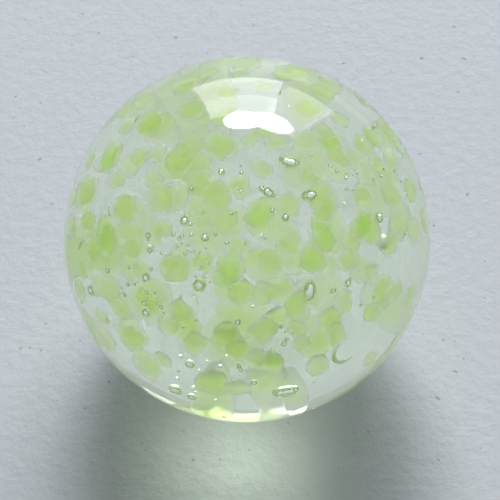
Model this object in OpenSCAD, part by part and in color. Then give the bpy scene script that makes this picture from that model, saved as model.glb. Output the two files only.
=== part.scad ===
// Clear glass marble with grains of milky yellow-green frit and air bubbles sealed inside it.
//
// The centre of the ball is the origin. The marble has a face: the side that looks towards -Y
// and is turned up by face_tilt. What lies in the front of the ball is listed by where it shows
// on that face, in percent of the radius to the right and up from the middle, and by how deep
// it sits, in percent of the way that the line of sight runs through the glass.

/* [Ball] */
// Diameter of the marble
marble_d = 16; // [12:0.5:25]
// Least clear glass between the surface and whatever lies inside
skin = 0.12; // [0.05:0.01:0.4]
// Refractive index of the glass, which bends the line of sight
glass_index = 1.5; // [1.45:0.01:1.7]

/* [Face] */
// Angle that the face is turned up from the front
face_tilt = 55; // [0:5:90]
// Distance that the face is looked at from, as a ratio to the radius of the ball
view_ratio = 10; // [4:1:40]

/* [Green frit] */
// Width of the smallest grain
grain_min = 0.7; // [0.4:0.05:0.8]
// Width of the largest grain
grain_max = 1.05; // [0.8:0.05:1.3]
// Thickness of a grain, as a ratio to its width
grain_thin_ratio = 0.5; // [0.4:0.05:0.9]
// How far apart the cuts across the melted corners are, as a ratio to the width
grain_cut_ratio = 1.15; // [1:0.05:1.2]
// Least clear glass between two things that lie inside
inner_gap = 0.03; // [0.02:0.01:0.1]
// Most grains that trail behind a drift, deeper in the glass
trail_most = 2; // [0:1:3]
// How much deeper each of them lies, in percent of the line of sight
trail_step = 36; // [20:1:45]
// Drifts of frit in the far side of the ball
far_drifts = 20; // [0:1:40]
// Grains in each of them
far_grains = 3; // [1:1:4]

/* [Bubbles] */
// Diameter of a full-grown bubble
bubble_d = 0.55; // [0.3:0.05:0.8]
// Diameter of the smallest seed bubble
seed_min = 0.1; // [0.06:0.01:0.15]
// Diameter of the largest seed bubble
seed_max = 0.2; // [0.15:0.01:0.3]
// Seed bubbles scattered all through the ball
stray_seeds = 40; // [0:5:80]

/* [Hidden] */
$fn = 32;

ball_r = marble_d / 2;
golden = 180 * (3 - sqrt(5));
// Where the random numbers of each kind start from, and how many starts each thing has
drift_key = 40;
trail_key = 600;
shape_key = 1200;
seed_key = 3000;
key_step = 5;
// Furthest out that anything shows, as a ratio to the radius of the ball
most_show = 0.99;
// Ball that every grain fits in, as a ratio to the grain's width
reach_ratio = norm([1, 1, grain_thin_ratio]);
// Narrowest that a grain is, as a ratio to its width
grain_narrow_ratio = 0.7;
// How far a grain may lean out of the layer that it lies in
grain_lean = 20;
// Deepest that a trailing grain lies, and how far it strays across and up, in percent
trail_deepest = 86;
trail_stray = 10;
// Far drifts: how far from the centre they lie, as a ratio to the radius of the ball, and
// between which cosines of the angle from the face's own axis
FAR_OUT = [0.7, 0.92];
FAR_ROUND = [-0.1, -0.9];
// Between which shares of the ball's volume the scattered seed bubbles lie
SEED_ROOM = [0.1, 0.95];
// How far towards the tip of its ellipsoid the balls of a drawn-out bubble reach
drawn_reach = 0.9;
// Search for a free place: how finely it looks, and how many places it tries
search_step = 0.3;
most_tries = 1500;

// Drifts of frit: across, up, deep, and how many grains lie side by side
DRIFTS = [
    [-35, 84, 6, 2], [-4, 92, 5, 2], [20, 90, 6, 2], [42, 82, 6, 3], [53, 63, 8, 2],
    [-31, 72, 6, 1], [-53, 63, 8, 3], [-64, 70, 5, 2], [-34, 53, 9, 3], [-16, 55, 14, 3],
    [23, 56, 12, 3], [13, 42, 7, 1], [22, 26, 8, 1], [-68, 42, 6, 4], [-84, 38, 6, 3],
    [-92, 20, 5, 2], [-34, 40, 22, 2], [-41, 24, 10, 4], [-86, 12, 6, 4], [-68, 7, 9, 3],
    [-13, 15, 26, 4], [6, 9, 34, 2], [-9, -15, 7, 1], [13, -12, 16, 3], [5, -28, 10, 3],
    [19, -37, 6, 2], [36, 13, 14, 4], [62, 7, 6, 3], [54, 22, 12, 3], [79, 27, 6, 4],
    [91, 13, 6, 3], [50, 40, 22, 2], [46, -18, 7, 2], [68, -19, 8, 2], [43, -44, 9, 3],
    [29, -56, 12, 3], [9, -66, 55, 2], [-19, -78, 50, 3], [-46, -66, 8, 1], [-64, -55, 7, 2],
    [-79, -46, 6, 2], [-28, -57, 8, 1], [-49, -52, 9, 2], [-55, -34, 30, 3], [-42, -8, 18, 3],
    [-86, -14, 6, 2], [-92, -25, 5, 1], [80, -34, 6, 1], [90, -32, 5, 1], [76, 48, 9, 2],
    [20, -24, 20, 3], [2, -43, 12, 3], [68, -66, 6, 1],
];

// Round bubbles: across, up, deep, and the width in percent of a full-grown one
ROUND = [
    [-26, -25, 8, 100], [-34, 10, 10, 75], [-23, 1, 12, 65], [-14, 37, 10, 60],
    [-54, 2, 7, 50], [-5, -45, 8, 50], [20, -57, 10, 50], [55, -24, 8, 60],
    [47, -28, 8, 50], [72, 12, 14, 80], [75, -1, 30, 90], [-76, -17, 6, 50],
    [-85, -28, 9, 80], [-55, -21, 9, 70], [-55, -29, 9, 40], [-56, -35, 9, 45],
    [-55, -40, 9, 75], [21, 12, 6, 60], [17, 13, 6, 40], [-39, -82, 22, 100],
    [-31, -68, 20, 70], [-30, -86, 16, 70], [4, -78, 12, 50], [87, 25, 5, 35],
];

// Bubbles that the glass drew out: across, up, deep, width and length in percent of a
// full-grown bubble, and the angles that they lean and bend by
DRAWN = [
    [23, 42, 8, 90, 160, -12, 20], [11, 26, 7, 70, 140, -35, 0], [34, 24, 8, 85, 125, 15, 0],
    [34, -28, 12, 100, 150, 85, 0], [-91, -3, 6, 35, 110, 45, 0], [69, 61, 7, 35, 110, 40, 0],
    [-4, -70, 10, 35, 90, 110, 0], [21, -83, 18, 110, 190, 5, 30], [-28, -33, 8, 25, 90, 110, 0],
    [-75, 15, 6, 30, 85, 105, 0], [-60, 66, 6, 25, 80, 70, 0], [18, 80, 6, 30, 80, 95, 60],
    [48, -66, 12, 40, 300, -50, 110], [9, 1, 8, 20, 70, -40, 40],
];

// Swarms of seed bubbles: across, up, deep, how far they spread, and their number
SWARMS = [
    [-22, 1, 9, 18, 20], [-43, -9, 10, 12, 14], [53, 34, 8, 7, 8], [-60, -30, 7, 10, 8],
    [19, -52, 9, 7, 6], [-39, -42, 10, 8, 7], [0, 30, 9, 12, 6], [-25, -76, 25, 14, 8],
    [76, 40, 7, 10, 6], [60, -30, 12, 12, 5], [-20, -16, 8, 14, 8],
];

// Where something lies that shows at [across, up] on the face and sits this deep
function behind_face(across, up, deep) =
    let (
        show = min(norm([across, up]) / 100, most_show),
        around = atan2(up, across),
        spread = asin(show / view_ratio),
        enter = asin(show) - spread,
        bent = asin(show / glass_index),
        run = 2 * ball_r * cos(bent) * deep / 100,
        out = ball_r * sin(enter) + run * sin(bent - enter),
        near = ball_r * cos(enter) - run * cos(bent - enter)
    )
    [out * cos(around), out * sin(around), near];

// Point at this height from the centre, on line n of a set that fans out evenly between two
// cosines of the angle from the face's own axis
function fan(n, count, from, to, height) =
    let (away = acos(from + (to - from) * (n + 0.5) / count))
    height * [sin(away) * cos(golden * n), sin(away) * sin(golden * n), cos(away)];

// The same place, moved in until a ball of this size keeps the skin of glass over it
function under_skin(place, size) =
    let (reach = ball_r - skin - size / 2)
    norm(place) > reach ? place * reach / norm(place) : place;

// Place n of those that fill the room round a place evenly, the nearest first
function nearby(place, n) =
    let (
        level = 1 - 2 * (n * sqrt(2) - floor(n * sqrt(2))),
        side = sqrt(1 - level * level),
        reach = search_step * pow(n, 1 / 3)
    )
    place + reach * [side * cos(golden * n), side * sin(golden * n), level];

// The nearest place where a ball of this size is clear of the balls already there
function clear_of(balls, wanted, size, n = 0) =
    let (
        place = under_skin(nearby(wanted, n), size),
        hit = [for (b = balls) if (norm(place - b[0]) < (size + b[1]) / 2 + inner_gap) b]
    )
    len(hit) == 0 || n == most_tries ? place : clear_of(balls, wanted, size, n + 1);

// The balls already there, and then each wanted ball, moved clear of all before it
function packed(balls, wanted, n = 0) =
    n == len(wanted) ? balls :
    let (
        size = wanted[n][1],
        place = clear_of(balls, wanted[n][0], size)
    )
    packed(concat(balls, [[place, size]]), wanted, n + 1);

function last_of(list, count) = [for (i = [len(list) - count : 1 : len(list) - 1]) list[i]];

// One of two directions that run across the line from the centre of the ball to a place
function sideways(place) =
    let (side = cross(place, abs(place[2]) > norm(place) / 2 ? [1, 0, 0] : [0, 0, 1]))
    side / norm(side);

// Balls that the grains of a drift want: they lie like the seeds of a sunflower
function drift_balls(middle, count, key) =
    let (
        one = sideways(middle),
        two = cross(middle, one) / norm(middle),
        sizes = rands(grain_min, grain_max, count, key),
        turn = rands(0, 360, 1, key + 1)[0],
        pitch = reach_ratio * (grain_min + grain_max) / 2
    )
    [
        for (i = [0 : count - 1])
            let (at = turn + golden * i)
            [middle + pitch * sqrt(i) * (cos(at) * one + sin(at) * two), sizes[i] * reach_ratio]
    ];

// Balls that a drawn-out bubble is strung from: each is as wide as an ellipsoid is there, and the
// last one stops short of its tip, so that all are sunk well into the next
function drawn_balls(spot) =
    let (
        wide = bubble_d * spot[3] / 100,
        long = bubble_d * spot[4] / 100,
        middle = under_skin(behind_face(spot[0], spot[1], spot[2]), long),
        half = sqrt(long * long - wide * wide) / 2,
        last = drawn_reach * 2 * half * half / long,
        balls = 2 * ceil(long / wide) + 1
    )
    [
        for (i = [0 : balls - 1])
            let (
                along = last * (2 * i / (balls - 1) - 1),
                at = spot[5] + spot[6] * along / long
            )
            [middle + along * [cos(at), sin(at), 0], wide * sqrt(1 - pow(along / half, 2))]
    ];

// Everything that lies in the ball, as balls, in the order in which it finds its place
drawn = [for (spot = DRAWN) for (ball = drawn_balls(spot)) ball];
wanted_round = [
    for (spot = ROUND)
        [behind_face(spot[0], spot[1], spot[2]), bubble_d * spot[3] / 100]
];
wanted_grains = [
    for (n = [0 : len(DRIFTS) - 1])
        let (spot = DRIFTS[n])
        each drift_balls(behind_face(spot[0], spot[1], spot[2]), spot[3], drift_key + key_step * n),
    for (n = [0 : len(DRIFTS) - 1])
        let (spot = DRIFTS[n])
        for (k = [1 : 1 : min(spot[3] - 1, trail_most)])
            let (
                key = trail_key + 2 * (key_step * n + k),
                stray = rands(-trail_stray, trail_stray, 2, key),
                size = rands(grain_min, grain_max, 1, key + 1)[0],
                deep = min(spot[2] + k * trail_step, trail_deepest)
            )
            [behind_face(spot[0] + stray[0], spot[1] + stray[1], deep), reach_ratio * size],
    for (n = [0 : 1 : far_drifts - 1])
        let (
            key = drift_key + key_step * (n + len(DRIFTS)),
            height = ball_r * rands(FAR_OUT[0], FAR_OUT[1], 1, key + 2)[0]
        )
        each drift_balls(fan(n, far_drifts, FAR_ROUND[0], FAR_ROUND[1], height), far_grains, key)
];
wanted_seeds = [
    for (n = [0 : len(SWARMS) - 1])
        let (
            spot = SWARMS[n],
            key = seed_key + key_step * n,
            aside = rands(-1, 1, spot[4], key),
            above = rands(-1, 1, spot[4], key + 1),
            sizes = rands(seed_min, seed_max, spot[4], key + 2)
        )
        for (i = [0 : spot[4] - 1])
            [behind_face(spot[0] + spot[3] * aside[i], spot[1] + spot[3] * above[i], spot[2]), sizes[i]],
    for (n = [0 : 1 : stray_seeds - 1])
        let (
            key = seed_key + key_step * (n + len(SWARMS)),
            height = ball_r * pow(rands(SEED_ROOM[0], SEED_ROOM[1], 1, key)[0], 1 / 3)
        )
        [fan(n, stray_seeds, 1, -1, height), rands(seed_min, seed_max, 1, key + 1)[0]]
];

with_round = packed(drawn, wanted_round);
with_grains = packed(with_round, wanted_grains);
with_seeds = packed(with_grains, wanted_seeds);
grains = last_of(with_grains, len(wanted_grains));
bubbles = concat(with_round, last_of(with_seeds, len(wanted_seeds)));

// A grain: a chip of broken glass, its corners cut off by a block that stands askew
module grain(width, key) {
    side = rands(grain_narrow_ratio, 1, 1, key)[0];
    askew = rands(-grain_lean, grain_lean, 3, key + 1);
    intersection() {
        cube(width * [1, side, grain_thin_ratio], center = true);
        rotate(askew + [0, 0, 45])
            cube(width * grain_cut_ratio, center = true);
    }
}

// The grains lie about flat to the surface, as the gather rolled them in
module frit() {
    for (n = [0 : len(grains) - 1])
        let (
            key = shape_key + key_step * n,
            place = grains[n][0],
            lean = rands(-grain_lean, grain_lean, 2, key),
            spin = rands(0, 360, 1, key + 1)[0],
            down = acos(place[2] / norm(place)),
            around = atan2(place[1], place[0])
        )
        translate(place)
            rotate([0, down, around])
                rotate([lean[0], lean[1], spin])
                    grain(grains[n][1] / reach_ratio, key + 2);
}

module air() {
    for (ball = bubbles)
        translate(ball[0])
            sphere(d = ball[1]);
}

module turn_up() {
    rotate([90 - face_tilt, 0, 0])
        children();
}

module clear_glass() {
    color("azure", 0.4)
        difference() {
            sphere(d = marble_d);
            turn_up() {
                frit();
                air();
            }
        }
}

module green_frit() {
    color("yellowgreen")
        turn_up()
            frit();
}

clear_glass();
green_frit();
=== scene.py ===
"""A clear glass marble with grains of yellow-green opal frit and air bubbles shut inside it."""

import math

import bmesh
import bpy
import numpy as np
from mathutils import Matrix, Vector, noise


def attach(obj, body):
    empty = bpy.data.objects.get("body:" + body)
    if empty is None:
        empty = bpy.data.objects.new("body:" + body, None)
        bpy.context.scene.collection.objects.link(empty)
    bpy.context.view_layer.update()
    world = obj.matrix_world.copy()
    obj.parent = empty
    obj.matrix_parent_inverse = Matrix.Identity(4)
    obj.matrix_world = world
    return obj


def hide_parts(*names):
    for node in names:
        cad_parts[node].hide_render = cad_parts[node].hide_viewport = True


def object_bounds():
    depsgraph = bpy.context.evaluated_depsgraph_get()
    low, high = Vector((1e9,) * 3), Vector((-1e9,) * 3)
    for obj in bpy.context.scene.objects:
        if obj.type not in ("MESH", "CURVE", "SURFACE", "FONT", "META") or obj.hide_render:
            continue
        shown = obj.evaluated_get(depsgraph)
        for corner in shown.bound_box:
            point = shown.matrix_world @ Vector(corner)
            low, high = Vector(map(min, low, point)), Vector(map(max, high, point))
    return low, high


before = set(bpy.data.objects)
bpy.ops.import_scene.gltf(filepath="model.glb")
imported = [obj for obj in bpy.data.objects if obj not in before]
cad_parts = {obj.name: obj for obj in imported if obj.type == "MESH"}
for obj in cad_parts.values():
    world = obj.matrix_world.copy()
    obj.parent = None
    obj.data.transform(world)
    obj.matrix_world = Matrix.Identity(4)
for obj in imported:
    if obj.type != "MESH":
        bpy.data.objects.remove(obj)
cad_low, cad_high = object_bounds()

MM = 0.001
BALL_RADIUS = (cad_high.x - cad_low.x) / 2
BALL_CENTRE = (cad_low + cad_high) / 2


def hex_rgb(code):
    """An sRGB hex colour as the linear red, green, blue and alpha that shaders take."""
    parts = [int(code[i : i + 2], 16) / 255 for i in (1, 3, 5)]
    linear = [c / 12.92 if c <= 0.04045 else ((c + 0.055) / 1.055) ** 2.4 for c in parts]
    return (*linear, 1.0)


# ---------------------------------------------------------------- materials

# Sizes of the patterns: the patches where hands have dulled the skin of the ball, the clouds in a
# grain of frit, and the tooth and the grit of the paper
DULLED_PATCH = 1.2 * MM
FRIT_CLOUD = 0.5 * MM
PAPER_TOOTH = 0.55 * MM
PAPER_RELIEF = 0.07 * MM
PAPER_GRIT = 0.45 * MM

# The sockets of a Mix node set to colours, whose names it also uses for its other kinds
MIX_AMOUNT, MIX_FROM, MIX_TO, MIX_RESULT = 0, 6, 7, 2


def add_node(tree, kind, settings=None, links=None):
    """Adds a node; settings go to its properties or plain sockets, links to its sockets. A socket
    is given by its name, or by its place where several share a name."""
    node = tree.nodes.new(kind)
    for name, value in (settings or {}).items():
        if isinstance(name, str) and hasattr(node, name):
            setattr(node, name, value)
        else:
            node.inputs[name].default_value = value
    for name, source in (links or {}).items():
        tree.links.new(source, node.inputs[name])
    return node


def new_material(name):
    """An empty node material, with its tree and output node."""
    material = bpy.data.materials.new(name)
    material.use_nodes = True
    tree = material.node_tree
    tree.nodes.clear()
    return material, tree, add_node(tree, "ShaderNodeOutputMaterial")


def soda_lime_glass():
    """Soda-lime glass, gathered, rolled round and fire-polished: clear, with a faint green of iron
    through its thickness, and a skin that is bright but a little wavy and handled. The frit melted
    into it clouds it slightly. The walls of its bubbles mirror most of what meets them, as a
    wall between glass and air does, so they show as silver rings with a bright middle."""
    material, tree, output = new_material("soda_lime_glass_fire_polished")
    place = add_node(tree, "ShaderNodeTexCoord")
    handling = add_node(
        tree, "ShaderNodeTexNoise",
        {"Scale": 1 / DULLED_PATCH, "Detail": 4.0},
        {"Vector": place.outputs["Object"]},
    )
    dulling = add_node(
        tree, "ShaderNodeMapRange",
        {"From Min": 0.55, "From Max": 0.8, "To Min": 0.0, "To Max": 0.03},
        {"Value": handling.outputs["Fac"]},
    )
    wall = add_node(tree, "ShaderNodeAttribute", {"attribute_name": "bubble_wall"})
    silver = add_node(
        tree, "ShaderNodeMapRange", {"To Min": 0.0, "To Max": 0.9}, {"Value": wall.outputs["Fac"]}
    )
    glass = add_node(
        tree, "ShaderNodeBsdfPrincipled",
        {"Base Color": hex_rgb("#fbfefc"), "Transmission Weight": 1.0, "IOR": 1.5},
        {"Roughness": dulling.outputs["Result"], "Metallic": silver.outputs["Result"]},
    )
    depth = add_node(
        tree, "ShaderNodeVolumeAbsorption", {"Color": hex_rgb("#f0ffdc"), "Density": 26.0}
    )
    haze = add_node(
        tree, "ShaderNodeVolumeScatter", {"Color": hex_rgb("#f4ffe2"), "Density": 28.0}
    )
    body = add_node(
        tree, "ShaderNodeAddShader", links={0: depth.outputs["Volume"], 1: haze.outputs["Volume"]}
    )
    tree.links.new(glass.outputs["BSDF"], output.inputs["Surface"])
    tree.links.new(body.outputs["Shader"], output.inputs["Volume"])
    return material


def opal_frit_glass():
    """Opal glass frit, crushed and then melted into the clear glass, so its index is all but that
    of the glass round it: milky, painted paler where its surface turns away from the eye and
    deepest where it faces the eye; grains that lie over each other deepen to yellow-green."""
    material, tree, output = new_material("opal_frit_yellow_green")
    tone = add_node(tree, "ShaderNodeAttribute", {"attribute_name": "grain_tone"})
    place = add_node(tree, "ShaderNodeTexCoord")
    cloud = add_node(
        tree, "ShaderNodeTexNoise",
        {"Scale": 1 / FRIT_CLOUD, "Detail": 2.0},
        {"Vector": place.outputs["Object"]},
    )
    milk = add_node(
        tree, "ShaderNodeMath",
        {"operation": "MULTIPLY_ADD", 1: 0.6},
        {0: cloud.outputs["Fac"], 2: tone.outputs["Fac"]},
    )
    shade = add_node(
        tree, "ShaderNodeMapRange", {"From Min": 0.2, "From Max": 1.2}, {"Value": milk.outputs[0]}
    )
    deep = add_node(
        tree, "ShaderNodeMix",
        {"data_type": "RGBA", MIX_FROM: hex_rgb("#fcffe4"), MIX_TO: hex_rgb("#f0ffc2")},
        {MIX_AMOUNT: shade.outputs["Result"]},
    )
    # Painted paling: white where the grain's surface turns from the eye, deep tint where it faces
    # it
    edge = add_node(tree, "ShaderNodeLayerWeight", {"Blend": 0.5})
    middle = add_node(
        tree, "ShaderNodeMapRange",
        {"To Min": 1.0, "To Max": 0.0},
        {"Value": edge.outputs["Facing"]},
    )
    tint_by_facing = add_node(
        tree, "ShaderNodeMath", {"operation": "POWER", 1: 2.0}, {0: middle.outputs["Result"]}
    )
    colour = add_node(
        tree, "ShaderNodeMix",
        {"data_type": "RGBA", MIX_FROM: hex_rgb("#ffffff")},
        {MIX_AMOUNT: tint_by_facing.outputs[0], MIX_TO: deep.outputs[MIX_RESULT]},
    )
    grain = add_node(
        tree, "ShaderNodeBsdfPrincipled",
        {"Transmission Weight": 0.95, "IOR": 1.012, "Roughness": 0.45},
        {"Base Color": colour.outputs[MIX_RESULT]},
    )
    depth = add_node(
        tree, "ShaderNodeVolumeAbsorption", {"Color": hex_rgb("#e8ff5c"), "Density": 280.0}
    )
    tree.links.new(grain.outputs["BSDF"], output.inputs["Surface"])
    tree.links.new(depth.outputs["Volume"], output.inputs["Volume"])
    return material


def cartridge_paper():
    """Pale cartridge paper, pressed with a tooth that takes the light unevenly, its hollows also
    painted darker as shade, and here and there a dark speck of grit in its pulp. Real tooth is
    finer; it is drawn as coarse as it needs to be to show."""
    material, tree, output = new_material("cartridge_paper_pale")
    place = add_node(tree, "ShaderNodeTexCoord")
    tooth = add_node(
        tree, "ShaderNodeTexNoise",
        {"Scale": 1 / PAPER_TOOTH, "Detail": 5.0, "Roughness": 0.62},
        {"Vector": place.outputs["Object"]},
    )
    # Painted shade: the noise that raises the tooth also darkens its hollows and lightens its rises
    tone = add_node(
        tree, "ShaderNodeMix",
        {"data_type": "RGBA", MIX_FROM: hex_rgb("#b3b9c2"), MIX_TO: hex_rgb("#bcc2cc")},
        {MIX_AMOUNT: tooth.outputs["Fac"]},
    )
    grit = add_node(
        tree, "ShaderNodeTexNoise",
        {"Scale": 1 / PAPER_GRIT, "Detail": 1.0},
        {"Vector": place.outputs["Object"]},
    )
    speck = add_node(
        tree, "ShaderNodeMapRange",
        {"From Min": 0.72, "From Max": 0.78, "To Min": 0.0, "To Max": 0.6},
        {"Value": grit.outputs["Fac"]},
    )
    specked = add_node(
        tree, "ShaderNodeMix",
        {"data_type": "RGBA", MIX_TO: hex_rgb("#7d8287")},
        {MIX_AMOUNT: speck.outputs["Result"], MIX_FROM: tone.outputs[MIX_RESULT]},
    )
    relief = add_node(
        tree, "ShaderNodeBump",
        {"Strength": 1.0, "Distance": PAPER_RELIEF},
        {"Height": tooth.outputs["Fac"]},
    )
    sheet = add_node(
        tree, "ShaderNodeBsdfPrincipled",
        {"Roughness": 0.9, "Specular IOR Level": 0.2},
        {"Base Color": specked.outputs[MIX_RESULT], "Normal": relief.outputs["Normal"]},
    )
    tree.links.new(sheet.outputs["BSDF"], output.inputs["Surface"])
    return material


# ---------------------------------------------------------------- meshes

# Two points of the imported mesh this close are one, and a shell with fewer faces than this is a
# sliver of its making
WELD = 1e-4 * MM
LEAST_FACES = 9


def shells_of(node):
    """The closed shells of a CAD node, each as its points and triangles."""
    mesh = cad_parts[node].data
    mesh.calc_loop_triangles()
    points = np.array([v.co for v in mesh.vertices])
    corners = np.array([t.vertices for t in mesh.loop_triangles])
    _, first, same = np.unique(
        np.round(points / WELD).astype(np.int64), axis=0, return_index=True, return_inverse=True
    )
    points, corners = points[first], same.reshape(-1)[corners]
    a, b, c = corners.T
    corners = corners[(a != b) & (b != c) & (c != a)]
    # Each point takes the lowest label among its neighbours, until every shell has one label
    label = np.arange(len(points))
    while True:
        lowest = label[corners].min(axis=1)
        fresh = label.copy()
        np.minimum.at(fresh, corners.reshape(-1), np.repeat(lowest, 3))
        fresh = fresh[fresh]
        if (fresh == label).all():
            break
        label = fresh
    found = []
    for name in np.unique(label[corners[:, 0]]):
        own = corners[label[corners[:, 0]] == name]
        if len(own) < LEAST_FACES:
            continue
        used, again = np.unique(own, return_inverse=True)
        found.append((points[used], again.reshape(own.shape)))
    return found


def as_object(name, points, faces, material):
    """A new smooth object of these points and faces."""
    mesh = bpy.data.meshes.new(name)
    mesh.from_pydata([tuple(p) for p in points], [], [tuple(int(i) for i in f) for f in faces])
    mesh.materials.append(material)
    mesh.shade_smooth()
    piece = bpy.data.objects.new(name, mesh)
    bpy.context.collection.objects.link(piece)
    return piece


def set_point_value(piece, name, values):
    """Gives every point of a piece its own number, for its material to read."""
    data = piece.data.attributes.new(name, "FLOAT", "POINT").data
    data.foreach_set("value", np.array(values, dtype=np.float32))


def ball_of(fineness):
    """Points and triangles of a unit ball."""
    shape = bmesh.new()
    bmesh.ops.create_icosphere(shape, subdivisions=fineness, radius=1.0)
    points = np.array([v.co for v in shape.verts])
    faces = np.array([[v.index for v in f.verts] for f in shape.faces])
    shape.free()
    return points, faces


def volume_of(points, faces):
    """What a closed skin of triangles holds."""
    a, b, c = (points[faces[:, i]] for i in range(3))
    return abs((a * np.cross(b, c)).sum()) / 6


# ---------------------------------------------------------------- the ball and its bubbles

# Segments round the skin of the ball, and how far apart and how deep its waves are
SKIN_SEGMENTS = 256
SKIN_WAVE = 4 * MM
SKIN_DIP = 0.03 * MM
# How much a shell's points may stray from a sphere when it is a round bubble, and the width from
# which a round bubble takes the finer ball
ROUND_STRAY = 0.02
FINE_BUBBLE = 0.25 * MM
FINE_BALL = ball_of(4)
PLAIN_BALL = ball_of(3)
# The remesh and the rounds of relaxing that melt a string of balls into one bubble
BUBBLE_VOXEL = 0.02 * MM
BUBBLE_RELAX = 6
# A hollow this near to a grain's own place is the one that the grain fills
SAME_PLACE = 0.02 * MM


def fitted_ball(points):
    """Centre and radius of the sphere that lies closest to these points, and how far they stray."""
    matrix = np.hstack([2 * points, np.ones((len(points), 1))])
    answer = np.linalg.lstsq(matrix, (points**2).sum(axis=1), rcond=None)[0]
    centre = answer[:3]
    radius = math.sqrt(answer[3] + centre @ centre)
    stray = np.abs(np.linalg.norm(points - centre, axis=1) - radius).max()
    return centre, radius, stray / radius


def melted_bubble(points, faces):
    """A string of balls as one smooth skin: remeshed in small voxels and relaxed."""
    piece = as_object("melting", points / MM, faces, None)
    remesh = piece.modifiers.new("remesh", "REMESH")
    remesh.mode = "VOXEL"
    remesh.voxel_size = BUBBLE_VOXEL / MM
    relax = piece.modifiers.new("relax", "SMOOTH")
    relax.iterations = BUBBLE_RELAX
    view = bpy.context.evaluated_depsgraph_get()
    mesh = bpy.data.meshes.new_from_object(piece.evaluated_get(view))
    new_points = np.array([v.co for v in mesh.vertices]) * MM
    new_faces = [list(p.vertices) for p in mesh.polygons]
    bpy.data.objects.remove(piece)
    bpy.data.meshes.remove(mesh)
    return new_points, new_faces


def wavy_skin():
    """Points and faces of the outside of the ball, a little wavy from rolling."""
    skin = bmesh.new()
    bmesh.ops.create_uvsphere(
        skin, u_segments=SKIN_SEGMENTS, v_segments=SKIN_SEGMENTS // 2, radius=BALL_RADIUS
    )
    for vert in skin.verts:
        wave = noise.noise(vert.co / SKIN_WAVE)
        vert.co *= 1 - SKIN_DIP / BALL_RADIUS * (0.5 + 0.5 * wave)
    points = np.array([v.co for v in skin.verts]) + np.array(BALL_CENTRE)
    faces = [[v.index for v in f.verts] for f in skin.faces]
    skin.free()
    return points, faces


def bubble_walls(grains):
    """Points and faces of the wall of every bubble: a true ball for a round one, and a melted skin
    for a drawn-out one."""
    grain_centres = np.array([points.mean(axis=0) for points, _ in grains])
    walls = []
    for points, faces in shells_of("clear_glass"):
        is_outside = np.ptp(points[:, 0]) > BALL_RADIUS
        to_grains = np.linalg.norm(grain_centres - points.mean(axis=0), axis=1)
        if is_outside or to_grains.min() < SAME_PLACE:
            continue
        middle = (points.min(axis=0) + points.max(axis=0)) / 2
        ball_centre, radius, stray = fitted_ball(points - middle)
        if stray < ROUND_STRAY:
            ball_points, faces = FINE_BALL if 2 * radius > FINE_BUBBLE else PLAIN_BALL
            points = middle + ball_centre + radius * ball_points
        else:
            points, faces = melted_bubble(points, faces)
        walls.append((points, faces))
    return walls


def marble_glass(material, grains):
    """The clear ball: its skin and the walls of its bubbles, which face the air inside them."""
    points, all_faces = wavy_skin()
    all_points = [points]
    count = len(points)
    is_wall = [0.0] * count
    for points, faces in bubble_walls(grains):
        all_points.append(points)
        all_faces.extend([[count + i for i in reversed(list(face))] for face in faces])
        count += len(points)
        is_wall.extend([1.0] * len(points))
    piece = as_object("clear_glass_ball", np.vstack(all_points), all_faces, material)
    set_point_value(piece, "bubble_wall", is_wall)
    return piece


# ---------------------------------------------------------------- the grains of frit

# A face of a chip this small beside its largest is a sliver, and two faces are one flat when
# their normals are alike to this many steps
LEAST_FLAT = 0.001
FLAT_STEPS = 50
# How sharp the melted edges of a grain are left, and how far apart and how high its lumps are
GRAIN_BALL = ball_of(2)
GRAIN_POWER = 5
GRAIN_LUMP = 0.3 * MM
GRAIN_UNEVEN = 0.2 * MM
FRIT_SEED = 7


def melted_grain(points, faces, ball, ball_faces):
    """A chip of frit with its edges and corners melted round: a ball that is pressed softly
    against the flat faces of the chip and holds as much glass as the chip did."""
    middle = points.mean(axis=0)
    corner = points[faces] - middle
    flat = np.cross(corner[:, 1] - corner[:, 0], corner[:, 2] - corner[:, 0])
    area = np.linalg.norm(flat, axis=1)
    whole = area > LEAST_FLAT * area.max()
    flat = flat[whole] / area[whole, None]
    away = (flat * corner[whole, 0]).sum(axis=1)
    _, one_each = np.unique(np.round(flat * FLAT_STEPS), axis=0, return_index=True)
    pressed = np.maximum(ball @ (flat[one_each] / away[one_each, None]).T, 0)
    grain = ball / ((pressed**GRAIN_POWER).sum(axis=1) ** (1 / GRAIN_POWER))[:, None]
    swell = (volume_of(points - middle, faces) / volume_of(grain, ball_faces)) ** (1 / 3)
    return middle + swell * grain


def frit_grains(material, grains):
    """Every grain of frit: the crushed chip with its edges melted round and its faces uneven."""
    ball, ball_faces = GRAIN_BALL
    shuffle = np.random.default_rng(FRIT_SEED)
    all_points, all_faces, tones = [], [], []
    for points, faces in grains:
        grain = melted_grain(points, faces, ball, ball_faces)
        lumps = np.array([noise.noise(Vector(p / GRAIN_LUMP)) for p in grain])
        all_faces.extend(ball_faces + len(ball) * len(all_points))
        all_points.append(grain + ball * (GRAIN_UNEVEN * lumps)[:, None])
        tones.extend([shuffle.random()] * len(ball))
    piece = as_object("opal_frit_grains", np.vstack(all_points), all_faces, material)
    set_point_value(piece, "grain_tone", tones)
    return piece


chips = shells_of("green_frit")
glass_ball = marble_glass(soda_lime_glass(), chips)
frit = frit_grains(opal_frit_glass(), chips)
for piece, node in ((glass_ball, "clear_glass"), (frit, "green_frit")):
    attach(piece, "root")
    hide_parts(node)


# ---------------------------------------------------------------- camera, floor and light

# Where the ball stands in the render, which is 500 pixels square
RENDER_SIDE_PX = 500
BALL_CENTRE_PX = (247.0, 239.3)
BALL_RADIUS_PX = 183.6
# The eye looks down on the marble at this angle in degrees, from this many of its radii away
EYE_ELEVATION = 55
EYE_RADII = 10
CLIP_START = 1 * MM

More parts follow.
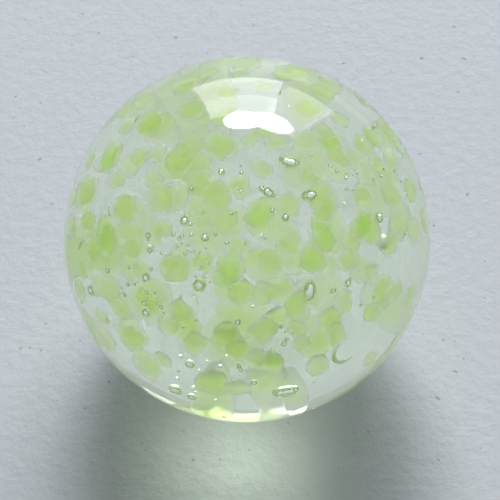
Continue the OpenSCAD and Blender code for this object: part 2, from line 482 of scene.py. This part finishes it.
# The sheet reaches this far each way, so that its edge is seldom seen
PAPER_HALF = 600 * MM
LAMP_DISTANCE = 450 * MM
WINDOW_WHITE = "#fffffb"
SIDE_WHITE = "#fffff4"
# The room's strength as plain light, and as it is seen straight, mirrored or through glass
ROOM_LIGHT = 0.2
ROOM_SEEN = 0.93


def aimed(obj, place, target):
    """Puts an object at a place, looking along its own -Z at the target with +Y up."""
    obj.location = place
    obj.rotation_euler = (Vector(target) - Vector(place)).to_track_quat("-Z", "Y").to_euler()


def direction(azimuth, elevation):
    """A unit vector; azimuth 0 is +Y and turns towards +X, in degrees."""
    turn, rise = math.radians(azimuth), math.radians(elevation)
    level = math.cos(rise)
    return Vector((math.sin(turn) * level, math.cos(turn) * level, math.sin(rise)))


def close_camera():
    """The camera, at the distance and turn that set the ball at its place in the frame."""
    data = bpy.data.cameras.new("camera")
    camera = bpy.data.objects.new("camera", data)
    bpy.context.collection.objects.link(camera)
    eye = BALL_CENTRE + EYE_RADII * BALL_RADIUS * direction(180, EYE_ELEVATION)
    aimed(camera, eye, BALL_CENTRE)
    outline_angle = math.asin(1 / EYE_RADII)
    data.angle = 2 * math.atan(math.tan(outline_angle) * (RENDER_SIDE_PX / 2) / BALL_RADIUS_PX)
    data.shift_x = (RENDER_SIDE_PX / 2 - BALL_CENTRE_PX[0]) / RENDER_SIDE_PX
    data.shift_y = (BALL_CENTRE_PX[1] - RENDER_SIDE_PX / 2) / RENDER_SIDE_PX
    data.clip_start = CLIP_START
    return camera


def paper_floor():
    """A sheet of paper under the marble."""
    mesh = bpy.data.meshes.new("paper")
    corners = [(-1, -1, 0), (1, -1, 0), (1, 1, 0), (-1, 1, 0)]
    mesh.from_pydata([PAPER_HALF * Vector(c) for c in corners], [], [(0, 1, 2, 3)])
    mesh.materials.append(cartridge_paper())
    floor = bpy.data.objects.new("paper", mesh)
    floor.location.z = cad_low.z
    bpy.context.collection.objects.link(floor)
    return floor


def softbox(name, toward, span, radiance, colour, shape="RECTANGLE"):
    """A flat lamp that looks at the marble from an azimuth and elevation; its span is the width
    and height that the marble sees, in degrees."""
    width, height = span
    lamp = bpy.data.lights.new(name, "AREA")
    lamp.shape = shape
    lamp.size = 2 * LAMP_DISTANCE * math.tan(math.radians(width / 2))
    lamp.size_y = 2 * LAMP_DISTANCE * math.tan(math.radians(height / 2))
    # An ellipse fills this share of the box round it, and a flat lamp gives off pi times its
    # radiance from each bit of its area
    fill = math.pi / 4 if shape == "ELLIPSE" else 1
    lamp.energy = radiance * math.pi * lamp.size * lamp.size_y * fill
    lamp.color = hex_rgb(colour)[:3]
    holder = bpy.data.objects.new(name, lamp)
    bpy.context.collection.objects.link(holder)
    aimed(holder, BALL_CENTRE + LAMP_DISTANCE * direction(*toward), BALL_CENTRE)


def pale_room():
    """A world that is pale to look at, in the glass too, while most of the light comes from the
    softboxes."""
    world = bpy.data.worlds.new("studio")
    world.use_nodes = True
    tree = world.node_tree
    tree.nodes.clear()
    place = add_node(tree, "ShaderNodeTexCoord")
    split = add_node(tree, "ShaderNodeSeparateXYZ", links={"Vector": place.outputs["Generated"]})
    height = add_node(
        tree, "ShaderNodeMapRange",
        {"From Min": 0.0, "From Max": 0.9, "To Min": 0.0, "To Max": 1.0},
        {"Value": split.outputs["Z"]},
    )
    shade = add_node(
        tree, "ShaderNodeMix",
        {"data_type": "RGBA", MIX_FROM: hex_rgb("#c4c9c9"), MIX_TO: hex_rgb("#d8dde2")},
        {MIX_AMOUNT: height.outputs["Result"]},
    )
    ray = add_node(tree, "ShaderNodeLightPath")
    seen = add_node(
        tree, "ShaderNodeMath", {"operation": "MAXIMUM"},
        {0: ray.outputs["Is Camera Ray"], 1: ray.outputs["Is Glossy Ray"]},
    )
    shown = add_node(
        tree, "ShaderNodeMath", {"operation": "MAXIMUM"},
        {0: seen.outputs[0], 1: ray.outputs["Is Transmission Ray"]},
    )
    level = add_node(
        tree, "ShaderNodeMapRange",
        {"To Min": ROOM_LIGHT, "To Max": ROOM_SEEN},
        {"Value": shown.outputs[0]},
    )
    sky = add_node(
        tree, "ShaderNodeBackground",
        links={"Color": shade.outputs[MIX_RESULT], "Strength": level.outputs["Result"]},
    )
    add_node(tree, "ShaderNodeOutputWorld", links={"Surface": sky.outputs["Background"]})
    return world


scene = bpy.context.scene
scene.camera = close_camera()
floor = paper_floor()

# A window with a dimmer lower half, a tall softbox to its right, and two bright round lamps above
# them, whose light the ball gathers into the bright patch at its foot
softbox("window_upper", (-3, 35), (30, 17), 5.0, WINDOW_WHITE)
softbox("window_lower", (-3, 16.5), (30, 20), 2.9, WINDOW_WHITE)
softbox("side_softbox", (24, 30), (20, 40), 2.2, SIDE_WHITE)
softbox("high_lamp", (-3, 48), (19, 14), 30.0, WINDOW_WHITE, "ELLIPSE")
softbox("side_lamp", (17, 47), (22, 14), 13.0, WINDOW_WHITE, "ELLIPSE")
scene.world = pale_room()

scene.view_settings.view_transform = "Standard"
# Light that is caught in the glass goes round many times before it comes out
scene.cycles.max_bounces = 40
scene.cycles.transmission_bounces = 40
scene.cycles.glossy_bounces = 24
scene.cycles.volume_bounces = 4
